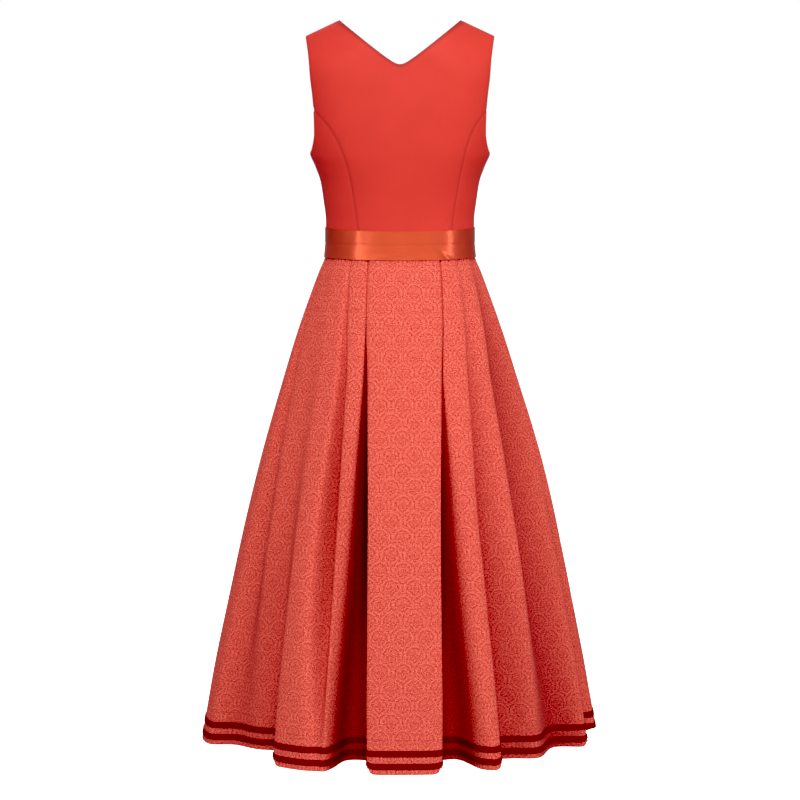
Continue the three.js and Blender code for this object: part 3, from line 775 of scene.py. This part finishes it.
# The folds from the left side seam over the back to the right one: the angle of each line from
# the middle of the back and how deep it lies inside the outline, at each of these heights.
foldHeights = [-385, -500, -610, -860, -1244]
folds = [
    {"line": "side seam", "angle": [-90, -90, -90, -90, -90], "depth": [0, 0, 0, 0, 0]},
    {"line": "outer roll", "angle": [-80, -80, -76, -74, -74], "depth": [0, 0, 0, 0, 0]},
    {"line": "outer trough", "angle": [-76, -75.5, -69.5, -63.5, -70], "depth": [0.5, 4, 10, 22, 40]},
    {"line": "slack panel", "angle": [-71, -70.5, -64, -56.6, -60], "depth": [0, 0, 1, 5, 60]},
    {"line": "slack tuck", "angle": [-62, -54, -49, -46, -49], "depth": [0.6, 1.4, 3.5, 16, 88]},
    {"line": "broad edge under", "angle": [-59.5, -50.3, -44.8, -41.6, -39.3],
     "depth": [0.4, 0.8, 1.2, 2.5, 5]},
    {"line": "broad edge", "angle": [-56.8, -48.3, -42.8, -40.4, -38.2], "depth": [0, 0, 0, 0, 0]},
    {"line": "broad panel", "angle": [-50, -41.2, -36, -35.5, -31.5], "depth": [0, 0, 0, -2, -4]},
    {"line": "short trough lip", "angle": [-43.8, -36.6, -33, -32.6, -27], "depth": [0, 0, 0, 1, -4]},
    {"line": "short trough", "angle": [-41, -33.4, -28.2, -26, -24], "depth": [0.9, 5, 15, 34, 0]},
    {"line": "strip start", "angle": [-38.6, -31.1, -26.5, -23.6, -22], "depth": [0, 0, 0, 3, 2]},
    {"line": "strip end", "angle": [-26.7, -20.7, -19.1, -19.6, -21], "depth": [1.3, 1.8, 2.8, 10, 26]},
    {"line": "pleat floor", "angle": [-25, -19.9, -17.9, -17.6, -20], "depth": [3.7, 5.2, 17, 50, 94]},
    {"line": "pleat inner fold", "angle": [-19.5, -15.6, -15, -14.8, -12], "depth": [6.4, 9.8, 30, 92, 97]},
    {"line": "pleat return", "angle": [-22.2, -17.6, -14.2, -11.9, -8.2], "depth": [4.4, 5.6, 13, 44, 48]},
    {"line": "box edge under", "angle": [-25, -19.9, -15.9, -11.8, -9.4], "depth": [2.7, 2.7, 2.8, 3, 4.6]},
    {"line": "box edge", "angle": [-24.1, -19.1, -15.2, -11.1, -8.9], "depth": [0, 0, 0, 0, 0]},
    {"line": "box middle", "angle": [3.5, 2.8, 2.2, 1.6, 1.3], "depth": [0, 0, 0, 0, 0]},
    {"line": "far box edge", "angle": [30.9, 24.5, 19.6, 14.3, 11.4], "depth": [0, 0, 0, 0, 0]},
    {"line": "far box edge under", "angle": [31.8, 25.4, 20.4, 15, 12], "depth": [2.7, 2.7, 2.8, 3, 4.6]},
    {"line": "far pleat return", "angle": [29, 23, 18.6, 14.8, 11.1], "depth": [4.4, 5.2, 8, 42, 47]},
    {"line": "far pleat inner fold", "angle": [26.4, 21.1, 18.4, 17.2, 15], "depth": [6.4, 9, 17, 90, 94]},
    {"line": "far pleat floor", "angle": [32.2, 25.8, 21.3, 19.9, 22], "depth": [3.7, 4.8, 9.5, 48, 97]},
    {"line": "narrow panel start", "angle": [33.4, 26.5, 22.2, 22.6, 24.6], "depth": [1.3, 1.8, 3.2, 9, 14]},
    {"line": "narrow panel", "angle": [41, 34, 29, 26.2, 27.2], "depth": [0, 0, 0, -1, -2]},
    {"line": "narrow edge", "angle": [46.8, 39.5, 34.4, 29.5, 29.7], "depth": [0, 0, 0, 0, 0]},
    {"line": "narrow edge under", "angle": [48, 40.5, 35.2, 30.3, 30.4], "depth": [0.9, 1.4, 2, 4, 6]},
    {"line": "narrow tuck", "angle": [50.5, 42.5, 36.4, 31.8, 33.3], "depth": [1.4, 4, 9, 27, 66]},
    {"line": "side panel start", "angle": [54, 46, 40.2, 36.2, 40.5], "depth": [0.6, 2.5, 7, 18, 56]},
    {"line": "side ridge", "angle": [64, 55.6, 49.5, 46.8, 47.8], "depth": [0, 0, 0, 0, 28]},
    {"line": "side trough", "angle": [70, 62, 56.5, 53, 65], "depth": [0.6, 9, 20, 29, 50]},
    {"line": "outer edge", "angle": [82, 83, 84, 73.5, 70.5], "depth": [0, 0, 0, 0, 0]},
    {"line": "outer edge under", "angle": [86.5, 87, 87.5, 82.5, 85], "depth": [0.5, 1.5, 3, 12, 40]},
]
# Straight grain runs down the middle of each panel; the grain changes inside the deep pleats.
grainPanels = [
    {"from": 0, "to": 4.5, "middle": 2, "shift": 8},
    {"from": 4.5, "to": 13, "middle": 7, "shift": 0},
    {"from": 13, "to": 21, "middle": 17, "shift": 3},
    {"from": 21, "to": 27.4, "middle": 24.3, "shift": 14},
    {"from": 27.4, "to": 33, "middle": 29, "shift": 5},
]


def skirtHalf(z):
    return through(column(skirtWidth, "z"), column(skirtWidth, "half"), z)


def skirtDepthAt(z, isFront):
    grown = skirtHalf(z) - skirtHalf(skirt["waistZ"])
    place = "front" if isFront else "back"
    return skirt["waist" + place.capitalize()] + grown * skirt[place + "Growth"]


# The fold lines of the back and then of the front, as places on the level at this height.
def skirtControl(z):
    half = skirtHalf(z)
    power = mix(torso[0]["squareness"], 2, min(1, (skirt["waistZ"] - z) / skirt["roundBelow"]))

    def place(angle, inside, depth):
        turn = math.radians(angle)
        square = (abs(math.sin(turn)) ** power + abs(math.cos(turn)) ** power) ** (-1 / power)
        nx, ny = depth * math.sin(turn), half * math.cos(turn)
        length = math.hypot(nx, ny)
        return (-(half * math.sin(turn) * square - inside * nx / length),
                depth * math.cos(turn) * square - inside * ny / length)

    back, front = skirtDepthAt(z, False), skirtDepthAt(z, True)
    points = []
    for fold in folds:
        angle, inside = through(foldHeights, fold["angle"], z), through(foldHeights, fold["depth"], z)
        points.append(place(angle, inside, back))
    points.append(place(90, 0, back))
    for fold in folds[1:]:
        angle = through(foldHeights, fold["angle"], z)
        sway = skirt["frontSway"] * math.sin(math.radians(2 * angle)) * math.cos(math.radians(angle))
        inside = skirt["frontShare"] * through(foldHeights, fold["depth"], z)
        points.append(place(180 + angle + sway, inside, front))
    return np.array(points)


# Places on a closed centripetal curve through the fold lines at the given stations.
def curveAt(controls, stations):
    count = len(controls)
    index = np.floor(stations).astype(int)
    w = (stations - index)[:, None]
    p0, p1, p2, p3 = (controls[(index + k) % count] for k in (-1, 0, 1, 2))
    d0, d1, d2 = (np.maximum(np.linalg.norm(b - a, axis=1), 1e-8)[:, None] ** 0.5
                  for a, b in ((p0, p1), (p1, p2), (p2, p3)))
    t1 = ((p1 - p0) / d0 - (p2 - p0) / (d0 + d1) + (p2 - p1) / d1) * d1
    t2 = ((p2 - p1) / d1 - (p3 - p1) / (d1 + d2) + (p3 - p2) / d2) * d1
    return p1 + t1 * w + (3 * (p2 - p1) - 2 * t1 - t2) * w ** 2 + (2 * (p1 - p2) + t1 + t2) * w ** 3


# Soft creases besides the folds: where they start and end (station, height), how far they stand
# out (minus is a trough) and how wide they are, in millimetres.
creases = [
    {"from": (26.6, -1020), "to": (28.4, -1190), "out": -2.2, "wide": 13},
    {"from": (2.6, -640), "to": (2.3, -1120), "out": 2.4, "wide": 16},
    {"from": (3.3, -760), "to": (3.1, -1180), "out": -2.0, "wide": 15},
    {"from": (7.5, -900), "to": (7.2, -1150), "out": 1.6, "wide": 22},
    {"from": (16.6, -760), "to": (16.8, -1100), "out": 1.2, "wide": 20},
    {"from": (17.6, -900), "to": (17.5, -1180), "out": -1.2, "wide": 22},
    {"from": (29.6, -520), "to": (29.5, -900), "out": 1.6, "wide": 14},
    {"from": (24.4, -600), "to": (24.6, -1000), "out": 1.3, "wide": 12},
]


# One level of the skirt, at the given stations along its fold lines.
def skirtRing(z, stations, outward=0.0):
    controls = skirtControl(z)
    points = curveAt(controls, stations)
    tangent = curveAt(controls, stations + 0.01) - curveAt(controls, stations - 0.01)
    normal = np.stack([tangent[:, 1], -tangent[:, 0]], axis=1)
    normal /= np.linalg.norm(normal, axis=1)[:, None]
    half = len(folds)
    steps = np.linalg.norm(np.diff(points, axis=0), axis=1)
    run = np.concatenate([[0], np.cumsum(steps)])
    out = np.full(len(stations), float(outward))
    for crease in creases:
        (s0, z0), (s1, z1) = crease["from"], crease["to"]
        t = (z - z0) / (z1 - z0)
        if not 0 < t < 1:
            continue
        fade = math.sin(math.pi * t) ** 0.7
        for turn in (0, half):
            centre = np.interp(mix(s0, s1, t) + turn, stations, run)
            out += crease["out"] * fade * np.exp(-((run - centre) / crease["wide"]) ** 2)
    # The hem's corner is rounded off at each fold edge.
    lift = np.zeros(len(stations))
    for edge in foldEdges:
        for turn in (0, half):
            away = (run - np.interp(edge["line"] + turn, stations, run)) * edge["inward"]
            inside = np.exp(-(np.maximum(away, 0) / edge["under"]) ** 2)
            across = np.clip(-away / skirt["cornerWide"], 0, 1)
            lift = np.maximum(lift, np.where(away > 0, inside, 1 - np.sqrt(1 - (1 - across) ** 2)))
    lift *= skirt["cornerLift"] * math.exp(-(z - skirt["hemZ"]) / skirt["cornerHigh"])
    return np.column_stack([points + normal * out[:, None], z + lift])


def skirtGrid(fromLine, toLine, rows, outward=0.0):
    count = (toLine - fromLine) * skirt["samples"]
    stations = np.linspace(fromLine, toLine, count + 1)
    stations[0] += skirt["endGap"]
    stations[-1] -= skirt["endGap"]
    return np.array([skirtRing(z, stations, outward) for z in rows]), stations


# How much painted shade each place gets, by how deep in a fold it lies: 0 on the outside to 1 deep in a
# pleat.
def shadeOf(stations, rows):
    lines = np.arange(len(folds) + 1)
    weights = [foldShade.get(line, 0.0) for line in lines]
    local = np.mod(stations, len(folds))
    shade = np.empty((len(rows), len(stations)))
    for r, z in enumerate(rows):
        depths = [through(foldHeights, fold["depth"], z) for fold in folds] + [0]
        deeper = np.maximum(np.interp(local, lines, depths) - skirt["shadeFrom"], 0)
        deep = 1 - np.exp(-deeper / skirt["shadeReach"])
        shade[r] = np.interp(local, lines, weights) * deep
    return shade


def skirtGrain(grid, stations):
    across = runAlong(grid, 1)
    half = len(folds)
    local = np.mod(stations, half)
    grain = np.empty(grid.shape[:2] + (2,))
    for turn in (0, half):
        for panel in grainPanels:
            chosen = (stations >= panel["from"] + turn) & (stations <= panel["to"] + turn)
            if not chosen.any():
                continue
            middle, lean, depth = (
                np.array([np.interp(panel["middle"] + turn, stations, row) for row in values])
                for values in (across, grid[:, :, 0], grid[:, :, 1]))
            down = np.concatenate([[0], np.cumsum(np.sqrt(np.diff(lean) ** 2 + np.diff(depth) ** 2
                                                          + np.diff(grid[:, 0, 2]) ** 2))])
            grain[:, chosen, 0] = (across - middle[:, None])[:, chosen] + panel["shift"]
            grain[:, chosen, 1] = -down[:, None]
    return grain


hemBand = skirt["hemRows"] * skirt["hemStep"]
rowCount = int((skirt["waistZ"] - skirt["hemZ"] - hemBand) / skirt["rowStep"])
skirtRows = np.concatenate([
    np.linspace(skirt["waistZ"] - skirt["waistGap"], skirt["hemZ"] + hemBand, rowCount),
    np.linspace(skirt["hemZ"] + hemBand, skirt["hemZ"], skirt["hemRows"] + 1)[1:],
])
for node, fromLine, toLine in (("skirt_back", 0, len(folds)), ("skirt_front", len(folds), 2 * len(folds))):
    grid, stations = skirtGrid(fromLine, toLine, skirtRows)
    aboveHem = np.repeat((skirtRows - skirt["hemZ"])[:, None] / 1000, len(stations), axis=1)
    # The fold mark is painted shade for the pleats.
    marks = {"fold": shadeOf(stations, skirtRows), "aboveHem": aboveHem}
    piece = clothFromGrid(node + "_cloth", grid, skirtGrain(grid, stations), skirt["cloth"], jacquardCloth,
                          marks=marks)
    across, up, area = flatSize(grid)
    wear(piece, node)
print("skirt")


# Velvet ribbons

ribbon = {
    "tops": {"velvet_ribbon_upper": -1204, "velvet_ribbon_lower": -1225},
    "height": 10, "pile": 1.0, "clear": 0.35, "rows": 5,
}
for node, topZ in ribbon["tops"].items():
    rows = np.linspace(topZ, topZ - ribbon["height"], ribbon["rows"])
    grid, _ = skirtGrid(0, 2 * len(folds), rows, ribbon["clear"] + ribbon["pile"])
    ring = grid[:, :-1].copy()
    grain = grainOf(grid, 0)[:, :-1]
    piece = clothFromGrid(node + "_pile", ring, grain, ribbon["pile"], velvetCloth, closed=True)
    across, up, area = flatSize(grid)
    wear(piece, node)
print("velvet ribbons")


# Sash

sash = {
    "topZ": -343.5, "bottomZ": -395.3, "topDip": 3.5, "bottomDip": 1, "lap": 34, "clear": 0.5,
    "overPleats": 0.6, "ribbon": 1.0, "columns": 420, "rows": 26, "lapRise": 1.6, "lapSlope": 1.1,
    "deepest": -0.35, "sideShadeFrom": 0.45, "sideShadePower": 1.5,
}
# Shallow buckles in the ribbon: the angle round the back (plus is the wearer's left), the share of
# the height where they are deepest, how far they stand out, their half width in degrees and height,
# and how they lean.
buckles = [
    {"angle": 31, "at": 0.3, "out": 0.3, "wide": 4.0, "high": 0.9, "lean": 2.0},
    {"angle": -40, "at": 0.85, "out": -0.8, "wide": 3.5, "high": 0.25, "lean": -20.0},
    {"angle": -46, "at": 0.9, "out": 1.2, "wide": 3.5, "high": 0.22, "lean": -24.0},
    {"angle": -25, "at": 0.92, "out": 0.8, "wide": 6.0, "high": 0.12, "lean": -24.0},
    {"angle": 22, "at": 0.92, "out": 0.8, "wide": 8.0, "high": 0.1, "lean": 24.0},
    {"angle": 44, "at": 0.2, "out": 0.3, "wide": 5.0, "high": 0.3, "lean": 10.0},
    {"angle": 50, "at": 0.9, "out": 0.35, "wide": 7.0, "high": 0.3, "lean": -10.0},
    {"angle": 58, "at": 0.25, "out": 0.6, "wide": 3.0, "high": 0.5, "lean": 8.0},
    {"angle": 4, "at": 0.75, "out": 0.35, "wide": 9.0, "high": 0.25, "lean": 10.0},
    {"angle": -70, "at": 0.4, "out": 0.6, "wide": 4.0, "high": 0.5, "lean": 6.0},
    {"angle": 120, "at": 0.6, "out": 0.6, "wide": 4.0, "high": 0.5, "lean": -6.0},
    {"angle": -125, "at": 0.4, "out": 0.6, "wide": 4.0, "high": 0.5, "lean": 5.0},
    {"angle": 152, "at": 0.7, "out": -0.5, "wide": 3.0, "high": 0.4, "lean": 9.0},
]


def buckleOut(angle, share):
    out = 0.0
    for buckle in buckles:
        away = (angle - buckle["angle"] - buckle["lean"] * (share - buckle["at"]) + 180) % 360 - 180
        up = (share - buckle["at"]) / buckle["high"]
        out += buckle["out"] * math.exp(-(away / buckle["wide"]) ** 2 - up * up)
    return max(sash["deepest"], out)


def sashGrid():
    lapAngle = math.degrees(sash["lap"] / skirt["waistFront"])
    grid = np.empty((sash["rows"], sash["columns"], 3))
    for r in range(sash["rows"]):
        share = r / (sash["rows"] - 1)
        for c in range(sash["columns"]):
            turned = mix(0, 360 + lapAngle, c / (sash["columns"] - 1))
            turn = math.radians(180 - lapAngle / 2 + turned)
            back = (math.cos(turn) + 1) / 2
            z = mix(sash["topZ"] - sash["topDip"] * back, sash["bottomZ"] - sash["bottomDip"] * back, share)
            isFront = math.cos(turn) < 0
            onSkirt = z < skirt["waistZ"]
            half = skirtHalf(z) + sash["overPleats"] if onSkirt else torsoAt("halfWidth", z)
            depth = (skirtDepthAt(z, isFront) + sash["overPleats"] if onSkirt
                     else torsoAt("front" if isFront else "back", z))
            rise = max(0, (turned - (360 - lapAngle)) / lapAngle)
            out = sash["clear"] + sash["ribbon"] + sash["lapRise"] * min(1, rise * sash["lapSlope"])
            power = torso[0]["squareness"]
            across, along = abs(math.sin(turn)) / half, abs(math.cos(turn)) / depth
            radius = (across ** power + along ** power) ** (-1 / power) + out
            radius += buckleOut(math.degrees(turn) % 360, share)
            grid[r, c] = (radius * math.sin(turn), radius * math.cos(turn), z)
    return grid


grid = sashGrid()
# Painted shade: the ribbon's colour darkens more the further it turns towards the sides.
aside = np.abs(grid[:, :, 0]) / np.hypot(grid[:, :, 0], grid[:, :, 1])
turned = np.clip((aside - sash["sideShadeFrom"]) / (1 - sash["sideShadeFrom"]), 0, 1) ** sash["sideShadePower"]
sashPiece = clothFromGrid("sash_ribbon", grid, grainOf(grid, 0), sash["ribbon"], satinCloth,
                          marks={"turned": turned})
across, up, area = flatSize(grid)
wear(sashPiece, "sash")
print("sash")
